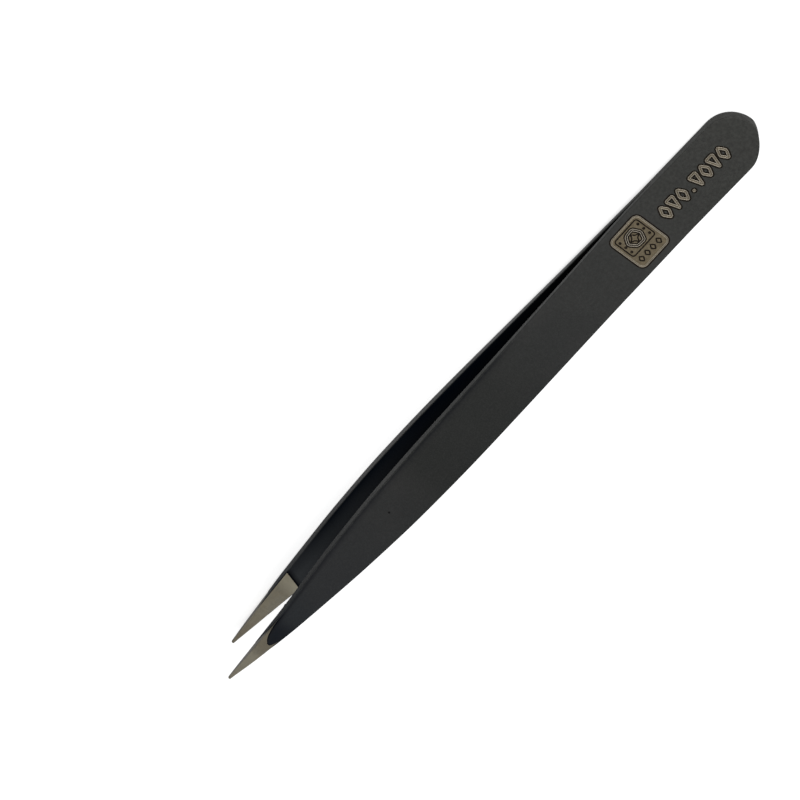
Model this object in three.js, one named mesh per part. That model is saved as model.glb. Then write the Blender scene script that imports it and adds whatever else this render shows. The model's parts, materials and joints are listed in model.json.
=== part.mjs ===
// Fine-point tweezers. Two bowed spring-steel arms are spot welded face to face at the head
// and dipped in a thin matt coating that leaves the two points bare.
//
// Millimetres, +Z up. The tweezers lie on the rear arm: X runs from the head to the points,
// Y across the width, and the arms open and close in the XZ plane. The origin is under the
// middle of the object, on the surface that it lies on.
//
// Each arm is one strip of steel. It is divided here at its flexure into a head plate, a
// spring leaf that bends and a blade that swings, and its coating is divided with it.
import * as THREE from 'three';

// ---- driving dimensions, in the arms' own frame -------------------------------------------
// s is the distance from the head end, y the distance across, z the distance from the plane
// in which the two points meet. Widths and thicknesses are those of the bare steel.
const LENGTH = 120;
const WELD_END = 16.6; // the arms are welded together up to here
const LEAF_END = 46; // they bend from the weld up to here, and are stiff beyond it
const HEAD_ROUND = 4.6; // length of the rounded head end
const HEAD_BLUNTNESS = 2.2; // 2 would be a true half circle
const HEAD_STEPS = 9;
const HEAD_FIRST_CUT = 0.1; // share of the quarter turn at which the rounded end is cut off flat
const HEAD_SLANT = 0.35; // the head end is ground back on the side towards +Y, by this much per mm
const HEAD_SLANT_SOFT = 0.6; // beyond about this distance from the middle
const HEAD_SLANT_END = 10; // and the slant has faded out here

const COAT = 0.08; // thickness of the coating
const BOND_GAP = 0.01; // left between the steel and its coating
const SPLIT_GAP = 0.04; // left where an arm is divided
const BEVEL = 0.16; // broken edges of the steel
const BEVEL_SHARE = 0.3; // and the most they take of a thin section

const HALF_WIDTH = [
  [0, 4.5], [20, 4.5], [35, 4.35], [50, 4.25], [65, 4.15], [78, 3.85], [90, 3.1],
  [100, 2.12], [105, 1.6], [112, 1.0], [116, 0.63], [LENGTH, 0.18],
];
const HALF_GAP = [
  [0, 0.1], [WELD_END, 0.1], [30, 0.82], [36, 1.26], [42, 1.68], [55, 2.53],
  [68, 3.14], [80, 3.63], [92, 4.1], [105, 4.46], [112, 4.55], [LENGTH, 4.55],
];
const THICKNESS = [
  [0, 0.74], [20, 0.74], [25, 0.76], [32, 0.77], [50, 1.0], [70, 1.43],
  [90, 1.52], [105, 1.68], [112, 1.25], [116, 0.92], [LENGTH, 0.42],
];

const INNER_COAT_END = 104.8; // the gripping faces are bare beyond this
const LAST_COATED_STEP = 104; // the last section that is coated all round
const OUTER_COAT_END = 112;

const WELD_RADIUS = 1.5;
const WELD_THICKNESS = 0.16;
const WELD_SIDES = 24;
const WELD_PLACES = [4.8, 9.4, 14];

// ---- stations along the arm ---------------------------------------------------------------
const LEAF_STEPS = [21, 27, 33, 40];
const BLADE_STEPS = [50, 55, 60, 66, 72, 78, 84, 90, 95, 100, LAST_COATED_STEP, OUTER_COAT_END];
const BARE_STEPS = [116, LENGTH];

// A smooth curve through [s, value] knots that never swings past them.
function smooth(knots) {
  const rise = (i) => (knots[i + 1][1] - knots[i][1]) / (knots[i + 1][0] - knots[i][0]);
  const slope = (i) => {
    if (i === 0 || i === knots.length - 1) return rise(Math.min(i, knots.length - 2));
    const before = rise(i - 1);
    const after = rise(i);
    return before * after > 0 ? (2 * before * after) / (before + after) : 0;
  };
  return (s) => {
    const next = knots.findIndex(([place]) => place >= s);
    const i = Math.min(Math.max(next - 1, 0), knots.length - 2);
    const span = knots[i + 1][0] - knots[i][0];
    const t = (s - knots[i][0]) / span;
    const bend = span * t * (1 - t);
    const blend = t * t * (3 - 2 * t);
    return knots[i][1] * (1 - blend) + knots[i + 1][1] * blend
      + bend * ((1 - t) * slope(i) - t * slope(i + 1));
  };
}

const fullHalfWidth = smooth(HALF_WIDTH);
const halfGap = smooth(HALF_GAP);
const thickness = smooth(THICKNESS);

// Half width of an outline that is grown outwards by `grow`, which also rounds the head end.
function halfWidth(s, grow) {
  const round = HEAD_ROUND + grow;
  const inside = Math.min(Math.max((HEAD_ROUND - s) / round, 0), 1);
  return (fullHalfWidth(Math.max(s, 0)) + grow) * Math.sqrt(1 - inside ** HEAD_BLUNTNESS);
}

// How far the slanted head end moves a point towards the points of the arms.
function headSlant(s, y) {
  const across = Math.hypot(Math.max(y, 0), HEAD_SLANT_SOFT) - HEAD_SLANT_SOFT;
  const t = Math.min(Math.max(s / HEAD_SLANT_END, 0), 1);
  return HEAD_SLANT * across * (1 - t * t * (3 - 2 * t));
}

// Places where the rounded head end is cut, closer together towards its blunt end.
function headSteps(grow) {
  const round = HEAD_ROUND + grow;
  const share = (i) => HEAD_FIRST_CUT + (i * (1 - HEAD_FIRST_CUT)) / HEAD_STEPS;
  return Array.from(
    { length: HEAD_STEPS + 1 },
    (_, i) => HEAD_ROUND - round * Math.cos((share(i) * Math.PI) / 2),
  );
}

// ---- the tweezers lie with the head end and the widest part of the rear arm on the ground ---
const restHeight = (s) => halfGap(s) + thickness(s) + COAT;
const TILT = Math.max(...BLADE_STEPS.map((s) => Math.atan((restHeight(s) - restHeight(0)) / s)));

function place(s, y, z) {
  const up = z + restHeight(0);
  return new THREE.Vector3(
    s * Math.cos(TILT) - up * Math.sin(TILT),
    y,
    s * Math.sin(TILT) + up * Math.cos(TILT),
  );
}

// ---- cross-sections -----------------------------------------------------------------------
// A bevelled rectangle, as [y, z] corners in order round it.
function bevelled(wide, low, high, bevel) {
  const cut = Math.min(bevel, BEVEL_SHARE * wide, BEVEL_SHARE * (high - low));
  const corner = (y, z, first) => {
    const along = [y - Math.sign(y) * cut, z];
    const up = [y, z + (z === low ? cut : -cut)];
    return first ? [along, up] : [up, along];
  };
  return [
    ...corner(wide, low, true), ...corner(wide, high, false),
    ...corner(-wide, high, true), ...corner(-wide, low, false),
  ];
}

// The front arm's section at s, and the rear arm's as its mirror image.
function armRing(s, grow, side) {
  const low = halfGap(s) - grow;
  const high = halfGap(s) + thickness(s) + grow;
  const ring = bevelled(halfWidth(s, grow), low, high, BEVEL + grow);
  return (side > 0 ? ring : ring.reverse()).map(([y, z]) => place(s + headSlant(s, y), y, side * z));
}

// The section round both head plates.
function headRing(s, grow) {
  const high = halfGap(s) + thickness(s) + grow;
  const ring = bevelled(halfWidth(s, grow), -high, high, BEVEL + grow);
  return ring.map(([y, z]) => place(s + headSlant(s, y), y, z));
}

// ---- closed bodies from rings of points ---------------------------------------------------
const reversed = (triangles) => triangles.map(([a, b, c]) => [c, b, a]);
const cap = (ring) => ring.slice(2).map((point, i) => [ring[0], ring[i + 1], point]);

function band(from, to) {
  return from.flatMap((point, i) => {
    const next = (i + 1) % from.length;
    return [[point, from[next], to[next]], [point, to[next], to[i]]];
  });
}

const skin = (rings) => rings.slice(1).flatMap((ring, i) => band(rings[i], ring));
const last = (rings) => rings[rings.length - 1];

function bar(rings) {
  return [...reversed(cap(rings[0])), ...skin(rings), ...cap(last(rings))];
}

function sleeve(outer, inner) {
  return [
    ...band(inner[0], outer[0]), ...skin(outer), ...reversed(skin(inner)),
    ...band(last(outer), last(inner)),
  ];
}

// A sleeve closed at its first end.
function cup(outer, inner) {
  return [
    ...reversed(cap(outer[0])), ...skin(outer), ...reversed(skin(inner)),
    ...cap(inner[0]), ...band(last(outer), last(inner)),
  ];
}

// ---- the pieces ---------------------------------------------------------------------------
const steelLook = { color: '#a39c8e', roughness: 0.38, metalness: 1 };
const coatLook = { color: '#35353a', roughness: 0.62, metalness: 0 };
const tweezers = new THREE.Group();

function add(name, triangles, look) {
  const geometry = new THREE.BufferGeometry().setFromPoints(triangles.flat());
  geometry.computeVertexNormals();
  const mesh = new THREE.Mesh(geometry, new THREE.MeshStandardMaterial(look));
  mesh.name = name;
  tweezers.add(mesh);
}

const CAVITY = BOND_GAP; // the coating's inside stands off the steel by this
const leafSpan = [WELD_END + SPLIT_GAP, ...LEAF_STEPS, LEAF_END - SPLIT_GAP];
const bladeSpan = [LEAF_END, ...BLADE_STEPS];
const headSpan = (grow) => [...headSteps(grow), WELD_END / 2, WELD_END];

function addSteel(arm, side) {
  const rings = (span) => span.map((s) => armRing(s, 0, side));
  add(`${arm}_head_plate`, bar(rings(headSpan(0))), steelLook);
  add(`${arm}_spring_leaf`, bar(rings(leafSpan)), steelLook);
  add(`${arm}_blade`, bar(rings([...bladeSpan, ...BARE_STEPS])), steelLook);
}

// The blade's coating ends further back on the gripping face than on the outer face.
function bladeRings(grow, side) {
  const rings = bladeSpan.map((s) => armRing(s, grow, side));
  const end = rings.pop();
  const start = last(rings);
  const innerShare = (INNER_COAT_END - LAST_COATED_STEP) / (OUTER_COAT_END - LAST_COATED_STEP);
  const middle = side * (halfGap(OUTER_COAT_END) + thickness(OUTER_COAT_END) / 2);
  const level = place(OUTER_COAT_END, 0, middle).z;
  const share = (point) => (side * (point.z - level) > 0 ? 1 : innerShare);
  rings.push(end.map((point, i) => start[i].clone().lerp(point, share(point))));
  return rings;
}

function addCoating(arm, side) {
  const rings = (span, grow) => span.map((s) => armRing(s, grow, side));
  add(`${arm}_leaf_coating`, sleeve(rings(leafSpan, COAT), rings(leafSpan, CAVITY)), coatLook);
  add(`${arm}_blade_coating`, sleeve(bladeRings(COAT, side), bladeRings(CAVITY, side)), coatLook);
}

// Each spot weld is a disc of fused steel between the two head plates.
function addWeld(name, s) {
  const ring = (z) => Array.from({ length: WELD_SIDES }, (_, i) => {
    const turn = (2 * Math.PI * i) / WELD_SIDES;
    return place(s + WELD_RADIUS * Math.cos(turn), WELD_RADIUS * Math.sin(turn), z);
  });
  add(name, bar([ring(-WELD_THICKNESS / 2), ring(WELD_THICKNESS / 2)]), steelLook);
}

addSteel('front', 1);
addSteel('rear', -1);
WELD_PLACES.forEach((s, i) => addWeld(`spot_weld_${i + 1}`, s));
const headRings = (grow) => headSpan(grow).map((s) => headRing(s, grow));
add('head_coating', cup(headRings(COAT), headRings(CAVITY)), coatLook);
addCoating('front', 1);
addCoating('rear', -1);

// The origin goes under the middle of the object.
const bounds = new THREE.Box3().setFromObject(tweezers);
const middle = bounds.getCenter(new THREE.Vector3());
for (const mesh of tweezers.children) {
  mesh.geometry.translate(-middle.x, -middle.y, -bounds.min.z);
}

export default tweezers;
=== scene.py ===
"""Fine-point tweezers: two bowed spring-steel arms, welded at the head, coated matt black, with
bare points. Lengths are in millimetres in the arms' own frame and become metres in place()."""
import json
import math

import bmesh
import bpy
import numpy as np
from mathutils import Matrix, Vector


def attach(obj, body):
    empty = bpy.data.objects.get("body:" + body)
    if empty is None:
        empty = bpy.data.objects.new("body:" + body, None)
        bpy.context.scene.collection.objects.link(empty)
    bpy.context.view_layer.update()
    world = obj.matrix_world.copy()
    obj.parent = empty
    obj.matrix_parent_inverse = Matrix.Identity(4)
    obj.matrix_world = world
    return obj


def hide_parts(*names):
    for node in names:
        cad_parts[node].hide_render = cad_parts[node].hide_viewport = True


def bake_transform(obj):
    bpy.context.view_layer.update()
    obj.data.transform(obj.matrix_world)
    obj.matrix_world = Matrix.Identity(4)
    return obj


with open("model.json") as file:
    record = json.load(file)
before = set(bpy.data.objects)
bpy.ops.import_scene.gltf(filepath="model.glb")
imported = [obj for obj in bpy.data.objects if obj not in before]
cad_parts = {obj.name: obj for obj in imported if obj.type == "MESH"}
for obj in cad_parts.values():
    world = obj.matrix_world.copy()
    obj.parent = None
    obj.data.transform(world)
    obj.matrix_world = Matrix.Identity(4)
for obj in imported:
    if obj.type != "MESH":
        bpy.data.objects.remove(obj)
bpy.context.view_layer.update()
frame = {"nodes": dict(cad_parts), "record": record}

MM = 0.001

# ---- where the arms lie -----------------------------------------------------------------------
# In the arms' own frame s runs from the head end to the points, y across, and z away from the
# plane in which the points meet. The record's two head faces say where that frame lies.
HEAD_FACE_S = 11.0
mounts = {mount["name"]: mount for mount in frame["record"]["mounts"]}
front_face = Vector(mounts["head_front_face"]["pos_m"])
rear_face = Vector(mounts["head_rest_face"]["pos_m"])
UP = Vector(mounts["head_front_face"]["axis"]).normalized()
ACROSS = Vector((0, 1, 0))
ALONG = Vector((UP.z, 0, -UP.x))
HEAD_MIDDLE = (front_face + rear_face) / 2 / MM


def place(points):
    """Points [s, y, z] in millimetres, as metres in the row frame."""
    s, y, z = (np.asarray(points, float)[..., i:i + 1] for i in range(3))
    moved = (s - HEAD_FACE_S) * np.array(ALONG) + y * np.array(ACROSS) + z * np.array(UP)
    return (np.array(HEAD_MIDDLE) + moved) * MM


# ---- the arm's shape, as in the CAD source ----------------------------------------------------
LENGTH = 120.0
WELD_END = 16.6
LEAF_END = 46.0
HEAD_ROUND = 4.6
HEAD_BLUNTNESS = 2.2
COAT = 0.08
BOND_GAP = 0.01

HALF_WIDTH = [(0, 4.5), (20, 4.5), (35, 4.35), (50, 4.25), (65, 4.15), (78, 3.85),
              (90, 3.1), (100, 2.12), (105, 1.6), (112, 0.98), (116, 0.6), (LENGTH, 0.18)]
HALF_GAP = [(0, 0.1), (WELD_END, 0.1), (30, 0.82), (36, 1.26), (42, 1.68), (55, 2.53),
            (68, 3.14), (80, 3.63), (92, 4.1), (105, 4.46), (112, 4.55), (LENGTH, 4.55)]
THICKNESS = [(0, 0.74), (20, 0.74), (25, 0.76), (32, 0.77), (50, 1.0), (70, 1.43),
             (90, 1.52), (105, 1.68), (112, 1.25), (116, 0.92), (LENGTH, 0.42)]
HEAD_SLANT = 0.35    # the head end is ground back a little on the side towards +y
HEAD_SLANT_SOFT = 0.6
HEAD_SLANT_END = 10.0
POINT_DRIFT = -0.06  # the points lean sideways by this much
DRIFT_SPAN = (113, 119)  # the lean builds up along here

INNER_EDGE = 0.04    # radius of the edges of the gripping side
OUTER_EDGE = 0.06    # and of those of the outer side
POINT_EDGE = 0.16    # which are more rounded at the points
GRIND_START = {-1: 104.6, 1: 108.6}  # the coating is ground off the outer edges from here on
GRIND_LENGTH = {-1: 5.0, 1: 2.2}  # length over which that bare line opens
GRIND_OPENING = 0.8  # below 1 it opens quickly and then slowly
NOSE_END = 110.7     # the coated outer face ends here, in a rounded nose
NOSE_MIDDLE = 0.3    # with its end this share of the half width towards +y
NOSE_ROUNDNESS = {-1: 4, 1: 8}  # 2 would be an ellipse
SIDE_END = 112.3     # the coated side walls run out here, at the gripping side
SIDE_TAPER = 2.2     # 1 would be a straight edge
INNER_END = 104.8    # the coated gripping face ends here, on a slant
INNER_SLANT = 0.34
SLANT_REACH = 8.0    # length over which the slant fades out
COAT_AT_END = 0.03   # the coating has thinned to this where its sides run out
BEAD_LENGTH = 0.34   # the bead of coating along that end
BEAD_HEIGHT = 0.07
RIM_REACH = (0.12, 0.75)  # the outer face is darker this close to its edge towards -y
RIM_START = (44, 54)      # from here on
RIM_FULL = (103, 106.5)   # and darkest from here on
FAINT_RIM = 0.7           # share of its depth before that
FAR_RIM = 0.3             # and on the side towards +y
NICK = (80.75, -0.28)     # a small nick in the coating of the front arm
NICK_SIZE = 0.26
TIP_ROUND = 0.16     # length over which the very tip is rounded
TIP_CLOSING = 0.8    # share of the section's square that it loses there
STATION_STEP = 0.8   # spacing of the sections, which are closer together at the points
POINT_STEP = 0.2


def smooth(knots):
    """A smooth curve through (s, value) knots that never swings past them."""
    xs, ys = np.array(knots, float).T
    rise = np.diff(ys) / np.diff(xs)
    slope = np.concatenate([rise[:1], np.zeros(len(rise) - 1), rise[-1:]])
    for i in range(1, len(rise)):
        if rise[i - 1] * rise[i] > 0:
            slope[i] = 2 * rise[i - 1] * rise[i] / (rise[i - 1] + rise[i])

    def value(s):
        s = np.clip(s, xs[0], xs[-1])
        i = np.clip(np.searchsorted(xs, s) - 1, 0, len(rise) - 1)
        span = xs[i + 1] - xs[i]
        t = (s - xs[i]) / span
        blend = t * t * (3 - 2 * t)
        bend = span * t * (1 - t) * ((1 - t) * slope[i] - t * slope[i + 1])
        return ys[i] * (1 - blend) + ys[i + 1] * blend + bend

    return value


full_half_width = smooth(HALF_WIDTH)
half_gap = smooth(HALF_GAP)
thickness = smooth(THICKNESS)


def outer_height(s):
    """Height of the steel's outer face above the meeting plane."""
    return half_gap(s) + thickness(s)


def share_of(s, start, end):
    return float(np.clip((s - start) / (end - start), 0, 1))


def ramp(s, start, end):
    """0 before start, 1 after end, smooth in between."""
    t = share_of(s, start, end)
    return t * t * (3 - 2 * t)


def near_inner_end(s):
    """1 where the coating of the gripping face ends, fading to 0 either side."""
    return 1 - ramp(abs(s - INNER_END), 0.6, SLANT_REACH)


def head_slant(s, y):
    """How far the slanted head end moves a point towards the points of the arms."""
    across = math.hypot(max(y, 0.0), HEAD_SLANT_SOFT) - HEAD_SLANT_SOFT
    return HEAD_SLANT * across * (1 - ramp(s, 0, HEAD_SLANT_END))


# ---- stations along the plan outline ----------------------------------------------------------
def outline(first, last):
    """Places (s, half width) from first to last along the outline, and its outward normals."""
    bow = np.cos(np.linspace(0, math.pi / 2, 25))
    head = np.stack([HEAD_ROUND * (1 - bow),
                     full_half_width(0) * np.sqrt(1 - bow ** HEAD_BLUNTNESS)], 1)
    turn = np.linspace(0, math.pi / 2, 9)
    body = np.concatenate([
        np.arange(HEAD_ROUND + 0.6, GRIND_START[-1] - 0.4, STATION_STEP),
        np.arange(GRIND_START[-1], LENGTH - TIP_ROUND, POINT_STEP),
        NOSE_END - 0.3 * (1 - np.sin(turn)),
        LENGTH - TIP_ROUND * (1 - np.sin(turn)),
        INNER_END - BEAD_LENGTH * np.linspace(0, 1, 7),
        [WELD_END, SIDE_END]])
    body = np.unique(np.round(body, 3))
    line = np.concatenate([head, np.stack([body, full_half_width(body)], 1)])
    step = np.gradient(line, axis=0)
    normal = np.stack([-step[:, 1], step[:, 0]], 1)
    normal /= np.linalg.norm(normal, axis=1)[:, None]
    normal[0] = (-1, 0)
    keep = (line[:, 0] >= first - 1e-6) & (line[:, 0] <= last + 1e-6)
    return line[keep], normal[keep]


def rim_of(zone, hand, inset, s):
    """1 on the darker rim, 0 away from it: at the end of the gripping face's coating, along the
    outer face's edge towards -y and more faintly towards +y, and round the nose.
    """
    if zone in ("inner", "inner edge"):
        return ramp(s, INNER_END - BEAD_LENGTH - 0.08, INNER_END - BEAD_LENGTH + 0.04)
    if zone in ("outer", "shoulder"):
        depth = FAINT_RIM * ramp(s, *RIM_START) + (1 - FAINT_RIM) * ramp(s, *RIM_FULL)
        if hand > 0:
            depth = FAR_RIM * ramp(s, *RIM_FULL)
        beside = depth * (1 - ramp(inset, *RIM_REACH))
        return max(beside, ramp(s, NOSE_END - 0.35, NOSE_END - 0.15))
    return 0.0


# ---- cross-sections ---------------------------------------------------------------------------
# A profile is half a section, as points (inset from the outline, share of the way from there to
# the middle, y of the middle, height), and the zone that each stretch between points is in.
FLAT = (0.03, 0.12, 0.3, 0.65, 1.0)


def arc(radius, grow, height, angles):
    """A rounded edge, from the side wall at angle 0 up to the flat at a quarter turn."""
    reach = radius + grow
    return [(radius - reach * math.cos(a), 0, 0, height - radius + reach * math.sin(a))
            for a in angles]


def nose_edge(s, wide, radius, hand):
    """Half width of the coated flat of the outer face on the side y * hand > 0, its middle."""
    start = GRIND_START[-1]
    share = share_of(s, start, NOSE_END)
    middle = NOSE_MIDDLE * wide * share ** 5
    half = wide - radius - (middle if hand > 0 else 0)
    return max(half, 0) * math.sqrt(1 - share ** NOSE_ROUNDNESS[hand]) + hand * middle, middle


def arm_profile(s, wide, grow, hand):
    low, high = float(half_gap(s)), float(outer_height(s))
    start = GRIND_START[hand]
    inner, radius, middle, shoulder = INNER_EDGE, OUTER_EDGE, 0.0, 0.0
    if grow > BOND_GAP:
        grow += (COAT_AT_END - COAT) * ramp(s, GRIND_START[-1], SIDE_END)
    if s > GRIND_START[-1]:
        inner = min(INNER_EDGE, 0.3 * wide)
        radius = OUTER_EDGE + (POINT_EDGE - OUTER_EDGE) * ramp(s, GRIND_START[-1], NOSE_END)
        radius = min(radius, 0.5 * wide, 0.45 * (high - low))
        edge, middle = nose_edge(s, wide, radius, hand)
        shoulder = wide - radius - edge
    wall_low, wall_high = low + inner, high - radius
    coated_wall = wall_high - (wall_high - wall_low) * share_of(s, start, SIDE_END) ** SIDE_TAPER
    bead = BEAD_HEIGHT * math.sin(math.pi * share_of(s, INNER_END - BEAD_LENGTH, INNER_END))
    inner_grow = grow + (bead if grow > BOND_GAP else 0)
    quarter = math.pi / 2
    bare = quarter / 2 * share_of(s, start, start + GRIND_LENGTH[hand]) ** GRIND_OPENING
    rows, zones = [(inner, 1, 0, low - inner_grow)], []

    def extend(points, zone):
        rows.extend(points)
        zones.extend([zone] * len(points))

    extend([(inner, share, 0, low - inner_grow) for share in FLAT[-2::-1] + (0,)], "inner")
    turn = arc(inner, inner_grow, inner, np.linspace(quarter, 0, 7)[1:])
    extend([(inset, 0, 0, low + inner - z) for inset, _, _, z in turn], "inner edge")
    extend([(-grow, 0, 0, z) for z in np.linspace(wall_low, coated_wall, 5)[1:]], "side")
    extend([(-grow, 0, 0, z) for z in np.linspace(coated_wall, wall_high, 4)[1:]], "bare side")
    for zone, first, last, steps in (("low edge", 0, quarter / 2 - bare, 3),
                                     ("ground", quarter / 2 - bare, quarter / 2 + bare, 8),
                                     ("high edge", quarter / 2 + bare, quarter, 3)):
        extend(arc(radius, grow, high, np.linspace(first, last, steps + 1)[1:]), zone)
    extend([(radius + shoulder * share, 0, 0, high + grow) for share in (0.5, 1)], "shoulder")
    extend([(radius + shoulder, share, middle, high + grow) for share in FLAT], "outer")
    return rows, zones


def head_profile(s, wide, grow, hand):
    """Both head plates together, from the rear outer face round to the front one."""
    high = float(outer_height(s))
    upper = arc(OUTER_EDGE, grow, high, np.linspace(0, math.pi / 2, 9))
    upper += [(OUTER_EDGE, share, 0, high + grow) for share in FLAT]
    lower = [(inset, share, middle, -z) for inset, share, middle, z in upper[::-1]]
    side = [(-grow, 0, 0, z) for z in np.linspace(OUTER_EDGE - high, high - OUTER_EDGE, 9)[1:-1]]
    rows = lower + side + upper
    return rows, ["head"] * (len(rows) - 1)


def grid(profile, first, last, grow):
    """The skin of a section carried along the outline: points [station, ring, (s, y, z)], how
    much of the darker rim each has, the zone of each stretch, and s at each station."""
    line, normal = outline(first, last)
    rings, ring_rims = [], []
    for (s, wide), (along, across) in zip(line, normal):
        halves, rims = [], []
        for hand in (1, -1):
            rows, zones = profile(s, wide, grow, hand)
            half, rim = [], []
            for (inset, share, middle, z), zone in zip(rows, ["inner"] + zones):
                edge = max(wide - inset * across, 0.0) * hand
                y = edge + (middle - edge) * share
                slant = INNER_SLANT * y * near_inner_end(s) if zone.startswith("inner") else 0.0
                drift = POINT_DRIFT * ramp(s, *DRIFT_SPAN)
                half.append((s - inset * along + slant + head_slant(s, y), y + drift, z))
                rim.append(rim_of(zone, hand, share * wide, s))
            halves.append(half)
            rims.append(rim)
        rings.append(halves[0] + halves[1][-2:0:-1])
        ring_rims.append(rims[0] + rims[1][-2:0:-1])
    return np.array(rings), np.array(ring_rims), zones + zones[::-1], line[:, 0]


def round_tip(points):
    """Draws the last stations in, so that the point isn't cut off square."""
    for ring in points:
        past = (ring[:, 0].max() - (LENGTH - TIP_ROUND)) / TIP_ROUND
        if past > 0:
            middle = (ring.max(0) + ring.min(0))[1:] / 2
            ring[:, 1:] = middle + (ring[:, 1:] - middle) * math.sqrt(1 - TIP_CLOSING * past ** 2)
    return points


# ---- meshes -----------------------------------------------------------------------------------
SHARP_ANGLE = math.radians(50)


def linked(name, data):
    made = bpy.data.objects.new(name, data)
    bpy.context.scene.collection.objects.link(made)
    return made


def frame_mesh(name, points, faces, rim):
    """A mesh from points of the arms' frame. It keeps them in the attribute rest, so that a
    material's pattern stays put as the arms bend, and rim beside it."""
    mesh = bpy.data.meshes.new(name)
    mesh.from_pydata(place(points).tolist(), [], [[int(v) for v in face] for face in faces])
    rest = mesh.attributes.new("rest", "FLOAT_VECTOR", "POINT")
    rest.data.foreach_set("vector", points.astype(np.float32).ravel())
    if rim is not None:
        values = np.array(rim, np.float32).ravel()
        mesh.attributes.new("rim", "FLOAT", "POINT").data.foreach_set("value", values)
    return mesh


def arm_object(name, points, faces, side, rim=None, slots=None):
    """A smooth-shaded piece of an arm, mirrored to the rear arm if side is -1. Its faces take
    their materials from slots."""
    points = np.array(points, float).reshape(-1, 3)
    if side < 0:
        points[:, 2] *= -1
        faces = [face[::-1] for face in faces]
    mesh = frame_mesh(name, points, faces, rim)
    if slots is not None:
        mesh.polygons.foreach_set("material_index", slots)
    clean = bmesh.new()
    clean.from_mesh(mesh)
    bmesh.ops.remove_doubles(clean, verts=clean.verts, dist=1e-6)
    bmesh.ops.dissolve_degenerate(clean, edges=clean.edges, dist=1e-7)
    loose = [vert for vert in clean.verts if not vert.link_faces]
    bmesh.ops.delete(clean, geom=loose, context="VERTS")
    for face in clean.faces:
        face.smooth = True
    for edge in clean.edges:
        edge.smooth = len(edge.link_faces) == 2 and edge.calc_face_angle(0) < SHARP_ANGLE
    clean.to_mesh(mesh)
    clean.free()
    return linked(name, mesh)


def quads(stations, ring):
    """The quads of a closed grid, as (station, place in the ring, corners)."""
    return [(i, j, (i * ring + j, i * ring + (j + 1) % ring,
                    (i + 1) * ring + (j + 1) % ring, (i + 1) * ring + j))
            for i in range(stations - 1) for j in range(ring)]


def bar(name, points, side):
    """A solid from a grid whose first ring is drawn to a line, and whose last one is capped."""
    stations, ring, _ = points.shape
    faces = [face for _, _, face in quads(stations, ring)]
    start = (stations - 1) * ring
    for j in range(ring // 2):
        corners = (j, j + 1, (ring - j - 1) % ring, (ring - j) % ring)
        faces.append([start + corner for corner in dict.fromkeys(corners)])
    return arm_object(name, points, faces, side)


def shell(name, profile, first, last, keep, side=1):
    """A thick skin on the steel from first to last, made only of the quads for which
    keep(zone, hand, s) is true. The gripping side and the rim take the second material, the
    coating's copy with painted shade."""
    outer, rim, zones, stations = grid(profile, first, last, COAT)
    inner = grid(profile, first, last, BOND_GAP)[0]
    ring = len(zones)
    count = len(stations) * ring
    faces, slots, edges = [], [], set()
    for i, j, face in quads(len(stations), ring):
        if keep(zones[j], 1 if 2 * j < ring else -1, stations[i]):
            faces += [face, tuple(v + count for v in face[::-1])]
            in_rim = rim[i, j] > 0.6 and stations[i] > GRIND_START[-1]
            slots += [int(zones[j] == "inner" or in_rim)] * 2
            edges |= set(zip(face, face[1:] + face[:1]))
    ends = [(b, a, a + count, b + count) for a, b in sorted(edges) if (b, a) not in edges]
    points = np.concatenate([outer.reshape(-1, 3), inner.reshape(-1, 3)])
    return arm_object(name, points, faces + ends, side, np.concatenate([rim, rim]),
                      slots + [0] * len(ends))


# ---- the steel arms and their coating ---------------------------------------------------------
COAT_ENDS = {"inner": INNER_END, "inner edge": INNER_END, "side": SIDE_END, "outer": NOSE_END}
ARMS = {"front": 1, "rear": -1}
pieces = {}


def coated(zone, hand, s):
    """Whether the stretch of the section that starts at s is coated."""
    start = GRIND_START[hand]
    opened = start + GRIND_LENGTH[hand]
    ends = {"low edge": opened, "high edge": opened, "ground": start, "bare side": start,
            "shoulder": GRIND_START[-1], **COAT_ENDS}
    return s < ends[zone] - 1e-6


for arm, side in ARMS.items():
    steel = bar(f"{arm}_arm", round_tip(grid(arm_profile, 0, LENGTH, 0.0)[0]), side)
    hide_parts(f"{arm}_head_plate", f"{arm}_spring_leaf", f"{arm}_blade")

    skin = shell(f"{arm}_coating", arm_profile, WELD_END, SIDE_END, coated, side)
    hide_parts(f"{arm}_leaf_coating", f"{arm}_blade_coating")
    pieces[arm] = (steel, skin)

head_skin = shell("head_skin", head_profile, 0, WELD_END, lambda zone, hand, s: True)
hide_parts("head_coating")


# ---- the marks on the front of the head -------------------------------------------------------
# Each mark is made of ribbons, whose sections are given as (place across, lift, place on the
# rim), where 1 is half the ribbon's width, MARK_HEIGHT and the bright or dark rim.
MARK_HEIGHT = 0.02
# The bright rim of RAISED lies on the top edges of the raised lines: partly a light halo from the
# marking, partly a painted highlight.
RAISED = [(-1, -1.0, 0), (-1, 0.3, 0.4), (-0.88, 1, 1), (-0.48, 1, 1), (-0.3, 0.5, 0),
          (0.3, 0.5, 0), (0.48, 1, 1), (0.88, 1, 1), (1, 0.3, 0.4), (1, -1.0, 0)]
SCORCHED = [(-1, -1, 0), (-1, 0.2, 0), (-0.7, 0.3, 1), (0.7, 0.3, 1), (1, 0.2, 0), (1, -1, 0)]
GROOVED = [(-1, -1, 0), (-1, 0.75, 0), (-0.7, 0.85, 1), (0.7, 0.85, 1), (1, 0.75, 0), (1, -1, 0)]

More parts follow.
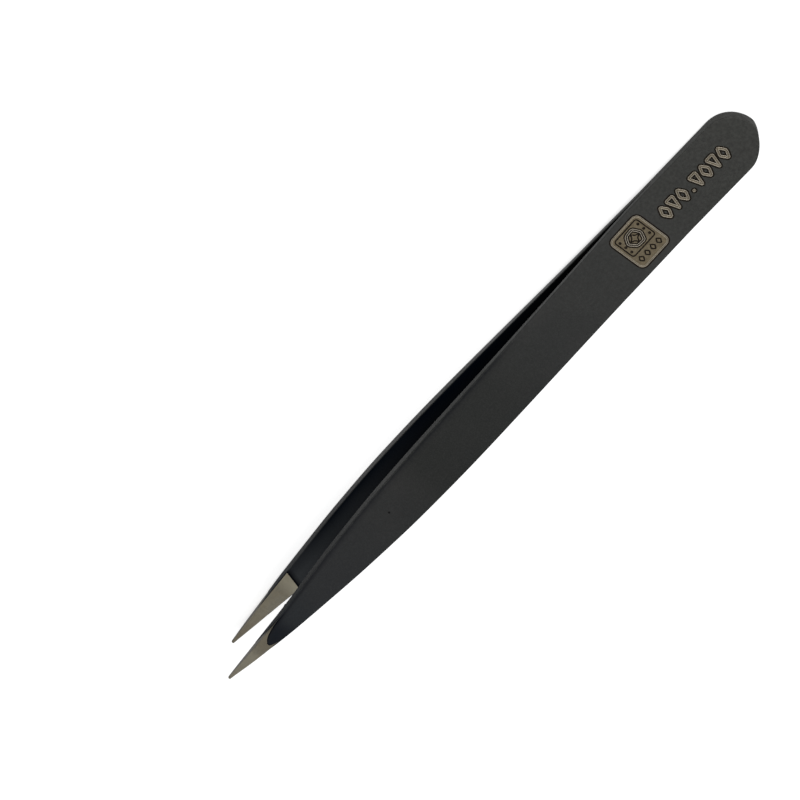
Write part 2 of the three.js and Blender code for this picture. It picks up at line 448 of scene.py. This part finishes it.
BADGE = (24.1, -0.08)       # middle of the plate
BADGE_SIZE = (3.05, 3.35)   # half its length and half its width
BADGE_RIM = 0.28
PLATE_LIFT = 0.55
MOTIF = (24.1, -0.98)       # middle of the nut on the plate
ROW_PLACES = (18.25, 16.4, 14.6, 11.5, 9.65, 7.8, 5.95)
ROW_Y = -0.2
ROW_HALF = 1.2              # half the height of the row's diamonds and triangles
ROW_WIDTH = 0.42            # width of their lines
DOT = (13.05, 0.62)
DOT_RADIUS = 0.13
GROOVE = 0.22               # width of a groove
SCORCH = 0.22               # the dark margin beside a raised line


def on_face(s, y, lift):
    """A point of the front arm's coated face, raised by lift times MARK_HEIGHT."""
    return (s, y, float(outer_height(s)) + COAT + lift * MARK_HEIGHT)


def ribbon(line, width, section):
    """A ribbon along a closed line of (s, y) points: its points, its faces and its rim."""
    line = np.array(line, float)
    step = np.roll(line, -1, 0) - np.roll(line, 1, 0)
    step /= np.linalg.norm(step, axis=1)[:, None]
    aside = np.stack([-step[:, 1], step[:, 0]], 1)
    points, rim = [], []
    for centre, normal in zip(line, aside):
        for lateral, lift, up in section:
            points.append(on_face(*(centre + normal * lateral * (width / 2)), lift))
            rim.append(up)
    count, ring = len(line), len(section)
    faces = []
    for i in range(count):
        k = (i + 1) % count
        for j in range(ring):
            m = (j + 1) % ring
            faces.append((i * ring + j, k * ring + j, k * ring + m, i * ring + m))
    return points, faces, rim


def plate(line, height):
    """A thin plate inside a closed line, with its top raised by height."""
    line = np.array(line, float)
    middle = line.mean(0)
    rings = [(1.0, -1.0), (1.0, 0.3 * height), (0.98, height), (0.7, height), (0.35, height)]
    points = [on_face(*(middle + (corner - middle) * scale), lift)
              for scale, lift in rings for corner in line]
    count = len(line)
    faces = []
    for i in range(len(rings) - 1):
        for j in range(count):
            k = (j + 1) % count
            faces.append((i * count + j, i * count + k, (i + 1) * count + k, (i + 1) * count + j))
    faces.append(tuple((len(rings) - 1) * count + j for j in range(count)))
    faces.append(tuple(range(count))[::-1])
    return points, faces, [0.0] * len(points)


def rounded_box(middle, half_length, half_width, radius, steps=7):
    corners = []
    for quarter, (a, b) in enumerate(((1, 1), (-1, 1), (-1, -1), (1, -1))):
        centre = np.array(middle) + (a * (half_length - radius), b * (half_width - radius))
        for angle in (quarter + np.linspace(0, 1, steps)) * math.pi / 2:
            corners.append(centre + radius * np.array((math.cos(angle), math.sin(angle))))
    return corners


def badge_line(inset, radius, steps=7):
    return rounded_box(BADGE, BADGE_SIZE[0] - inset, BADGE_SIZE[1] - inset, radius, steps)


def circle(middle, radius, steps=12):
    angles = np.arange(steps) * 2 * math.pi / steps
    return [(middle[0] + radius * math.cos(a), middle[1] + radius * math.sin(a)) for a in angles]


def star(middle, outer, inner, arms):
    """The corners of a star."""
    angles = np.arange(2 * arms) * math.pi / arms
    return [(middle[0] + (inner if i % 2 else outer) * math.cos(a),
             middle[1] + (inner if i % 2 else outer) * math.sin(a)) for i, a in enumerate(angles)]


def rounded_polygon(corners, radius, steps=5):
    """A closed line through the corners, each one cut by a small curve."""
    corners = np.array(corners, float)
    line = []
    for before, corner, after in zip(np.roll(corners, 1, 0), corners, np.roll(corners, -1, 0)):
        start = corner + (before - corner) / np.linalg.norm(before - corner) * radius
        end = corner + (after - corner) / np.linalg.norm(after - corner) * radius
        for t in np.linspace(0, 1, steps):
            line.append(start * (1 - t) ** 2 + corner * 2 * t * (1 - t) + end * t ** 2)
    return line


def diamond(s, y, half_length, half_width):
    return [(s - half_length, y), (s, y - half_width), (s + half_length, y), (s, y + half_width)]


# Light marks: a plain plate with a rim, and a row of diamonds and triangles with a dot in it.
raised = [(badge_line(BADGE_RIM / 2, 0.8), BADGE_RIM)]
for number, row_s in enumerate(ROW_PLACES):
    if number % 2:
        foot = ROW_Y - ROW_HALF + 0.15
        shape = [(row_s - 0.7, foot), (row_s + 0.7, foot), (row_s, ROW_Y + ROW_HALF)]
    else:
        shape = diamond(row_s, ROW_Y, 0.68, ROW_HALF)
    raised.append((rounded_polygon(shape, 0.3), ROW_WIDTH))
nut = rounded_polygon(star(MOTIF, 1.42, 1.3, 3), 0.3)
raised += [(circle(DOT, DOT_RADIUS), 2 * DOT_RADIUS), (nut, ROW_WIDTH)]

# Dark grooves in the plate: a frame round the nut with a small star, six dots, and a row of
# diamonds under it.
grooves = [(rounded_box(MOTIF, 2.4, 1.85, 0.4), GROOVE), (nut, 0.8),
           (rounded_polygon(star(MOTIF, 0.85, 0.42, 4), 0.12), GROOVE)]
for along in (-1.95, 1.95):
    for across in (-1.1, 0, 1.1):
        grooves.append((circle((MOTIF[0] + along, MOTIF[1] + across), DOT_RADIUS), 0.2))
for row_s in (22.25, 23.5, 24.7, 25.95):
    grooves.append((rounded_polygon(diamond(row_s, 1.95, 0.4, 0.53), 0.12), GROOVE))


def make_marks(name, parts):
    points, faces, rims = [], [], []
    for more, more_faces, rim in parts:
        faces += [tuple(v + len(points) for v in face) for face in more_faces]
        points += more
        rims += rim
    mesh = frame_mesh(name, np.array(points), faces, rims)
    clean = bmesh.new()
    clean.from_mesh(mesh)
    bmesh.ops.recalc_face_normals(clean, faces=clean.faces)
    clean.to_mesh(mesh)
    clean.free()
    made = linked(name, mesh)
    return made


marks = make_marks("head_marks", [plate(badge_line(0.1, 0.85, 9), PLATE_LIFT)] + [
    ribbon(line, width, RAISED) for line, width in raised])
scorch = make_marks("head_marks_scorch", [
    ribbon(line, width + 2 * SCORCH, SCORCHED) for line, width in raised])
groove_marks = make_marks("head_marks_grooves", [
    ribbon(line, width, GROOVED) for line, width in grooves])

# ---- baking the pieces in place; the head skin follows the head body --------------------------
for arm, side in ARMS.items():
    leaf_end = place((LEAF_END, 0, side * float(half_gap(LEAF_END) + thickness(LEAF_END) / 2)))
    bending = list(pieces[arm]) + ([marks, scorch, groove_marks] if arm == "front" else [])
    for piece in bending:
        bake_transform(piece)
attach(head_skin, "head")


# ---- materials --------------------------------------------------------------------------------
class Look:
    """A node material with a Principled shader, and short ways to make its nodes."""

    def __init__(self, name, coords="rest"):
        self.material = bpy.data.materials.new(name)
        self.material.use_nodes = True
        self.nodes = self.material.node_tree.nodes
        self.links = self.material.node_tree.links
        self.shader = self.nodes["Principled BSDF"]
        if coords == "object":
            self.coords = self.nodes.new("ShaderNodeTexCoord").outputs["Object"]
        else:
            self.coords = self.attribute(coords).outputs["Vector"]

    def set(self, **values):
        for name, value in values.items():
            self.shader.inputs[name.replace("_", " ").title()].default_value = value

    def join(self, source, target):
        self.links.new(source, self.shader.inputs[target] if isinstance(target, str) else target)

    def attribute(self, name):
        node = self.nodes.new("ShaderNodeAttribute")
        node.attribute_name = name
        return node

    def stretched(self, scale):
        node = self.nodes.new("ShaderNodeMapping")
        node.inputs["Scale"].default_value = scale
        self.join(self.coords, node.inputs["Vector"])
        return node.outputs["Vector"]

    def noise(self, scale, detail=3.0, roughness=0.5, vector=None):
        node = self.nodes.new("ShaderNodeTexNoise")
        node.inputs["Scale"].default_value = scale
        node.inputs["Detail"].default_value = detail
        node.inputs["Roughness"].default_value = roughness
        self.join(vector or self.coords, node.inputs["Vector"])
        return node.outputs["Fac"]

    def span(self, source, low, high, to_low=0.0, to_high=1.0, smooth_step=False):
        node = self.nodes.new("ShaderNodeMapRange")
        node.interpolation_type = "SMOOTHSTEP" if smooth_step else "LINEAR"
        for socket, value in zip(("From Min", "From Max", "To Min", "To Max"),
                                 (low, high, to_low, to_high)):
            node.inputs[socket].default_value = value
        self.join(source, node.inputs["Value"])
        return node.outputs["Result"]

    def rise(self, source, low, high, to_low=0.0, to_high=1.0):
        """As span, but with a gentle start and end."""
        return self.span(source, low, high, to_low, to_high, smooth_step=True)

    def math(self, operation, a, b=0.0):
        node = self.nodes.new("ShaderNodeMath")
        node.operation = operation
        self._fill(node.inputs[0], a)
        self._fill(node.inputs[1], b)
        return node.outputs["Value"]

    def add(self, a, b):
        return self.math("ADD", a, b)

    def times(self, a, b):
        return self.math("MULTIPLY", a, b)

    def mix(self, factor, a, b):
        node = self.nodes.new("ShaderNodeMix")
        node.data_type = "RGBA"
        for socket, value in zip((node.inputs["Factor"], node.inputs["A"], node.inputs["B"]),
                                 (factor, a, b)):
            self._fill(socket, value)
        return node.outputs["Result"]

    def _fill(self, socket, value):
        if isinstance(value, bpy.types.NodeSocket):
            self.join(value, socket)
        elif isinstance(value, tuple):
            socket.default_value = (*value, 1.0)
        else:
            socket.default_value = value

    def part(self, axis):
        node = self.nodes.new("ShaderNodeSeparateXYZ")
        self.join(self.coords, node.inputs["Vector"])
        return node.outputs[axis]

    def near(self, point, size):
        """1 at a point of the pattern, 0 beyond size from it."""
        node = self.nodes.new("ShaderNodeVectorMath")
        node.operation = "DISTANCE"
        self.join(self.coords, node.inputs[0])
        node.inputs[1].default_value = point
        return self.rise(node.outputs["Value"], 0.4 * size, size, 1.0, 0.0)

    def wall(self):
        """1 on the side walls, 0 on the flat faces."""
        geometry = self.nodes.new("ShaderNodeNewGeometry")
        parts = self.nodes.new("ShaderNodeSeparateXYZ")
        self.join(geometry.outputs["Normal"], parts.inputs["Vector"])
        return self.rise(self.math("ABSOLUTE", parts.outputs["Z"]), 0.85, 0.35)

    def bump(self, height, distance, strength=1.0, normal=None):
        node = self.nodes.new("ShaderNodeBump")
        node.inputs["Strength"].default_value = strength
        node.inputs["Distance"].default_value = distance
        self.join(height, node.inputs["Height"])
        if normal is not None:
            self.join(normal, node.inputs["Normal"])
        return node.outputs["Normal"]


FINE_BUMP = 0.00001  # metres


def outer_tone(look, along, wall, rear):
    """From a grey-green at the head to a cool black at the points: partly the coating's own worn
    tint, partly painted light falloff.
    The side walls carry painted shade towards the points, and the rear arm's side wall painted
    light towards the head.
    """
    cloud = look.span(look.noise(0.16, 2.0), 0.35, 0.65)
    blotch = look.span(look.noise(2.0, 3.0, 0.65), 0.36, 0.66)
    grain = look.span(look.noise(5.5, 3.0, 0.65), 0.38, 0.68)
    tone = look.mix(cloud, (0.0088, 0.0096, 0.0094), (0.0132, 0.0134, 0.0128))
    # Lighter towards the head, darker along the middle and darker, cooler towards the points:
    # partly the coating's own tint, partly painted light falloff from the head side.
    tone = look.mix(look.rise(along, 50.0, 2.0), tone, (0.027, 0.0275, 0.0243))
    tone = look.mix(look.rise(along, 70.0, 105.0), tone, (0.009, 0.0102, 0.012))
    tone = look.mix(look.rise(along, 98.0, 104.0), tone, (0.0062, 0.0085, 0.0112))
    belly = look.times(look.rise(along, 44.0, 56.0), look.rise(along, 78.0, 71.0))
    tone = look.mix(look.times(belly, 0.75), tone, (0.0026, 0.0038, 0.0030))
    tone = look.mix(look.times(grain, 0.26), tone, (0.04, 0.04, 0.038))
    tone = look.mix(look.rise(along, 104.4, 107.6), tone, (0.0004, 0.0022, 0.0056))
    worn = look.span(along, 60.0, 10.0, 0.25, 0.5)
    tone = look.mix(look.times(blotch, worn), tone, (0.006, 0.0058, 0.005))
    # Painted shade: the side walls darker towards the points.
    painted_shade_wall = look.times(wall, look.span(along, 45.0, 70.0, 0.0, 0.3))
    tone = look.mix(painted_shade_wall, tone, (0.003, 0.003, 0.003))
    # Painted light: the rear arm's side wall lighter towards the head.
    painted_light_wall = look.times(look.times(wall, look.rise(along, 62.0, 48.0)), rear)
    return look.mix(painted_light_wall, tone, (0.05, 0.05, 0.05))


def inner_painted_shade_tone(look, along):
    """Painted shade for the gripping faces between the arms: black at the head, growing greyer
    towards the points, and painted lighter towards +y.
    """
    level = look.rise(along, 62.0, 90.0, 0.05, 0.21)
    level = look.add(level, look.rise(along, 92.0, 103.0, 0.0, 0.18))
    aside = look.add(look.part("Y"), look.span(along, 86.0, 104.0, 2.35, 1.5))
    aside = look.math("MINIMUM", aside, 1.5)
    level = look.add(level, look.times(aside, look.rise(along, 72.0, 94.0, 0.045, 0.25)))
    tone = look.mix(level, (0.0, 0.0012, 0.0036), (0.05, 0.0545, 0.0585))
    return look.mix(look.span(along, 60.0, 35.0), tone, (0.0, 0.0001, 0.0003))


def black_coating(name, specular, inside=False):
    """Matt black dip coating: a fine grain, an orange peel and a slow drift of tone that is
    partly painted light, darkest on the rim along its edges and ends. The side walls are duller
    than the faces, more so in some places, and carry painted shade and painted light. With inside
    set, it is the copy with painted shade for the gripping faces."""
    look = Look(name)
    along = look.part("X")
    rim = look.attribute("rim").outputs["Fac"]
    wall = look.wall()
    rear = look.span(look.part("Z"), -0.5, -1.5)
    tone = inner_painted_shade_tone(look, along) if inside else outer_tone(look, along, wall, rear)
    tone = look.mix(rim, tone, (0.0012, 0.0018, 0.0036))
    nick = look.near((*NICK, float(outer_height(NICK[0])) + COAT), NICK_SIZE)
    look.join(look.mix(nick, tone, (0.0, 0.0, 0.0)), "Base Color")

    rear_dull = look.add(look.rise(along, 64.0, 44.0, 0.0, 0.03),
                         look.rise(along, 76.0, 98.0, 0.0, 0.2))
    front_dull = look.add(look.rise(along, 36.0, 60.0, 0.07, 0.16),
                          look.rise(along, 74.0, 102.0, 0.0, 0.21))
    front_dull = look.add(front_dull, look.rise(along, 30.0, 8.0, 0.0, 0.14))
    dull = look.add(look.times(rear, rear_dull),
                    look.times(look.math("SUBTRACT", 1.0, rear), front_dull))
    rough = look.span(look.noise(2.2, 4.0, 0.6), 0.3, 0.7, 0.46, 0.62)
    for where, more in ((wall, dull), (nick, 0.4), (rim, 0.4)):
        rough = look.add(rough, look.times(where, more))
    look.join(rough, "Roughness")

    peel = look.bump(look.noise(3.2, 2.0, 0.55), 2 * FINE_BUMP, 0.35)
    look.join(look.bump(look.noise(11.0, 2.0, 0.6), FINE_BUMP, 0.4, peel), "Normal")
    look.shader.inputs["Specular IOR Level"].default_value = specular
    return look.material


def bare_steel():
    """Stainless steel ground lengthwise, with finer marks across and faint warm patches. Each
    arm is brighter in one place and stained in another, and its side walls are darkened with
    painted shade."""
    look = Look("bare_steel")
    lines = look.noise(1.0, 3.0, 0.6, look.stretched((0.7, 22.0, 22.0)))
    cross = look.noise(1.0, 2.0, 0.6, look.stretched((9.0, 1.2, 1.2)))
    ground = look.add(look.times(lines, 0.65), look.times(cross, 0.35))
    along = look.part("X")
    rear = look.span(look.part("Z"), 0.0, -0.5)
    front = look.math("SUBTRACT", 1.0, rear)
    warm = look.times(look.span(look.noise(0.45, 2.0), 0.42, 0.62), 0.55)
    polished = look.add(look.times(rear, look.span(along, 107.6, 105.6)),
                        look.times(front, look.span(along, 112.8, 114.0, 0.0, 0.5)))
    stained = look.add(look.times(rear, look.span(along, 111.0, 118.2, 0.0, 0.6)),
                       look.times(front, look.span(along, 113.4, 112.4, 0.0, 0.35)))
    at_end = look.span(along, LENGTH - 1.0, LENGTH - 0.1, 0.0, 0.3)
    tone = look.mix(look.span(ground, 0.35, 0.65), (0.29, 0.268, 0.21), (0.42, 0.39, 0.31))
    for where, colour in ((warm, (0.37, 0.325, 0.235)), (polished, (0.52, 0.48, 0.37)),
                          (stained, (0.24, 0.2, 0.14)),
                          # painted shade: the bare side walls darker than the flats
                          (look.times(look.wall(), 0.85), (0.06, 0.06, 0.06)),
                          (at_end, (0.08, 0.075, 0.065))):
        tone = look.mix(where, tone, colour)
    look.join(tone, "Base Color")
    look.join(look.span(ground, 0.3, 0.7, 0.33, 0.5), "Roughness")
    look.join(look.bump(ground, FINE_BUMP, 0.5), "Normal")
    look.set(metallic=1.0, specular_tint=(0.6, 0.6, 0.6, 1.0))
    return look.material


def mark_bronze():
    """Patchy bronze, bright on its rims: partly a light halo from the marking, partly a painted
    highlight on the raised edges.
    """
    look = Look("mark_bronze")
    rim = look.attribute("rim").outputs["Fac"]
    patches = look.span(look.noise(3.0, 3.0, 0.6), 0.3, 0.7)
    middle = look.mix(patches, (0.078, 0.062, 0.038), (0.13, 0.106, 0.068))
    look.join(look.mix(rim, middle, (0.235, 0.21, 0.17)), "Base Color")
    look.join(look.span(look.noise(9.0, 2.0), 0.3, 0.7, 0.35, 0.5), "Roughness")
    look.join(look.bump(look.noise(8.0, 3.0), FINE_BUMP, 0.4), "Normal")
    look.set(metallic=0.8)
    return look.material


def mark_scorch():
    """Burnt brown-black, in the grooves and beside the raised lines."""
    look = Look("mark_scorch")
    patches = look.span(look.noise(4.0, 3.0, 0.6), 0.3, 0.7)
    look.join(look.mix(patches, (0.004, 0.0026, 0.0014), (0.010, 0.0072, 0.0045)), "Base Color")
    look.join(look.span(look.noise(9.0, 2.0), 0.3, 0.7, 0.6, 0.75), "Roughness")
    look.shader.inputs["Specular IOR Level"].default_value = 0.06
    return look.material


def fused_steel():
    """The spot welds: blotchy grey steel. Its pattern is in metres, as they have no rest."""
    look = Look("fused_steel", "object")
    blotches = look.span(look.noise(2600.0, 3.0, 0.6), 0.3, 0.7)
    look.join(look.mix(blotches, (0.22, 0.20, 0.18), (0.42, 0.39, 0.35)), "Base Color")
    look.join(look.span(blotches, 0.0, 1.0, 0.35, 0.6), "Roughness")
    look.join(look.bump(blotches, FINE_BUMP, 0.5), "Normal")
    look.set(metallic=1.0)
    return look.material


def paint(piece, *materials):
    """Gives a piece its materials, and keeps which face has which."""
    slots = [face.material_index for face in piece.data.polygons]
    piece.data.materials.clear()
    for material in materials:
        piece.data.materials.append(material)
    piece.data.polygons.foreach_set("material_index", slots)


coating = black_coating("matt_black_coating", 0.22)
# The second coating is a copy with painted shade and less specular, for the gripping faces and
# the rim.
painted_shade_coating = black_coating("matt_black_coating_painted_shade", 0.04, inside=True)
steel_look = bare_steel()
for steel, skin in pieces.values():
    paint(steel, steel_look)
    paint(skin, coating, painted_shade_coating)
paint(head_skin, coating)
paint(marks, mark_bronze())
scorched = mark_scorch()
paint(scorch, scorched)
paint(groove_marks, scorched)
weld_look = fused_steel()
for node in frame["nodes"].values():
    if not node.hide_render:
        for slot in node.material_slots:
            slot.material = weld_look

# ---- floor, light and camera ------------------------------------------------------------------
FLOOR_REACH = 1.5
FLOOR_GLOW = 0.62  # keeps the floor pale and its shadow faint
floor_mesh = bpy.data.meshes.new("floor")
floor_mesh.from_pydata([(x * FLOOR_REACH, y * FLOOR_REACH, 0)
                        for x, y in ((-1, -1), (1, -1), (1, 1), (-1, 1))], [], [(0, 1, 2, 3)])
floor = linked("floor", floor_mesh)
paper = Look("pale_floor", "object")
paper.join(paper.mix(paper.noise(3.0), (0.48, 0.48, 0.48), (0.52, 0.52, 0.52)), "Base Color")
paper.set(roughness=0.9, emission_color=(1, 1, 1, 1), emission_strength=FLOOR_GLOW)
paint(floor, paper.material)


def direction(azimuth, elevation):
    a, e = math.radians(azimuth), math.radians(elevation)
    return Vector((math.cos(e) * math.cos(a), math.cos(e) * math.sin(a), math.sin(e)))


LIGHT_AIM = Vector((0, 0, 0.006))


def area_light(name, azimuth, elevation, distance, size, power):
    data = bpy.data.lights.new(name, "AREA")
    data.size = size
    data.energy = power
    light = linked(name, data)
    back = direction(azimuth, elevation)
    light.location = LIGHT_AIM + back * distance
    light.rotation_euler = back.to_track_quat("Z", "Y").to_euler()


area_light("overhead", 180, 75, distance=0.9, size=0.7, power=6.0)
area_light("head_side", 190, 40, distance=0.8, size=0.45, power=3.0)

world = bpy.data.worlds.new("studio")
world.use_nodes = True
world.node_tree.nodes["Background"].inputs["Color"].default_value = (0.97, 0.98, 1.0, 1)
world.node_tree.nodes["Background"].inputs["Strength"].default_value = 0.3
bpy.context.scene.world = world

# The camera looks down on the head from behind its left, turned so that the points lie low left.
TARGET = Vector((6.15, -9.93, 6.06)) * MM
AZIMUTH, ELEVATION, ROLL = -145.61, 56.03, 174.68
DISTANCE = 0.56312
LENS = 173.1
back = direction(AZIMUTH, ELEVATION)
level_right = Vector((0, 0, 1)).cross(back).normalized()
level_up = back.cross(level_right)
turn = math.radians(ROLL)
up = level_up * math.cos(turn) + level_right * math.sin(turn)
right = up.cross(back)
camera_data = bpy.data.cameras.new("camera")
camera_data.lens = LENS
camera_data.sensor_width = 36
camera_data.clip_start = 0.01
camera = linked("camera", camera_data)
camera.matrix_world = Matrix.Translation(TARGET + back * DISTANCE) @ Matrix(
    (right, up, back)).transposed().to_4x4()
bpy.context.scene.camera = camera
bpy.context.scene.view_settings.view_transform = "Standard"
